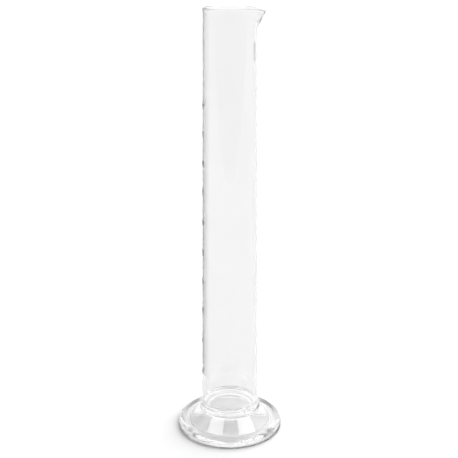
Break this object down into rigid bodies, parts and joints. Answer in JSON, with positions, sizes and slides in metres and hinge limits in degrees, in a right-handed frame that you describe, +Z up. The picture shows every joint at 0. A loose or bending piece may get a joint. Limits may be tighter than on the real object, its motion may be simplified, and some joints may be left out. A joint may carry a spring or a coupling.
{
  "type": "measuring cylinder",
  "caption": "Tall clear glass measuring cylinder with a pinched pouring spout, a fused round foot and a fine enamel scale on the side away from the spout.",
  "frame": {"origin": "on the table, under the tube's axis, at the centre of the foot's standing ring", "axes": "+Z up along the tube's axis, +X towards the spout, scale centred on -X"},
  "size_m": [0.0944, 0.0944, 0.388],
  "materials": {
    "clear_glass": "clear, fire-polished",
    "scale_enamel": "fired white enamel, slightly raised"
  },
  "bodies": {
    "root": {"measuring_tube": "clear_glass", "round_foot": "clear_glass", "joint_ring": "clear_glass", "graduation_050_ml": "scale_enamel", "graduation_075_ml": "scale_enamel", "graduation_100_ml": "scale_enamel", "graduation_125_ml": "scale_enamel", "graduation_150_ml": "scale_enamel", "graduation_175_ml": "scale_enamel", "graduation_200_ml": "scale_enamel", "graduation_225_ml": "scale_enamel", "graduation_250_ml": "scale_enamel", "graduation_275_ml": "scale_enamel", "graduation_300_ml": "scale_enamel", "graduation_325_ml": "scale_enamel", "graduation_350_ml": "scale_enamel", "graduation_375_ml": "scale_enamel", "graduation_400_ml": "scale_enamel", "graduation_425_ml": "scale_enamel", "graduation_450_ml": "scale_enamel", "graduation_475_ml": "scale_enamel", "graduation_500_ml": "scale_enamel"}
  },
  "joints": []
}
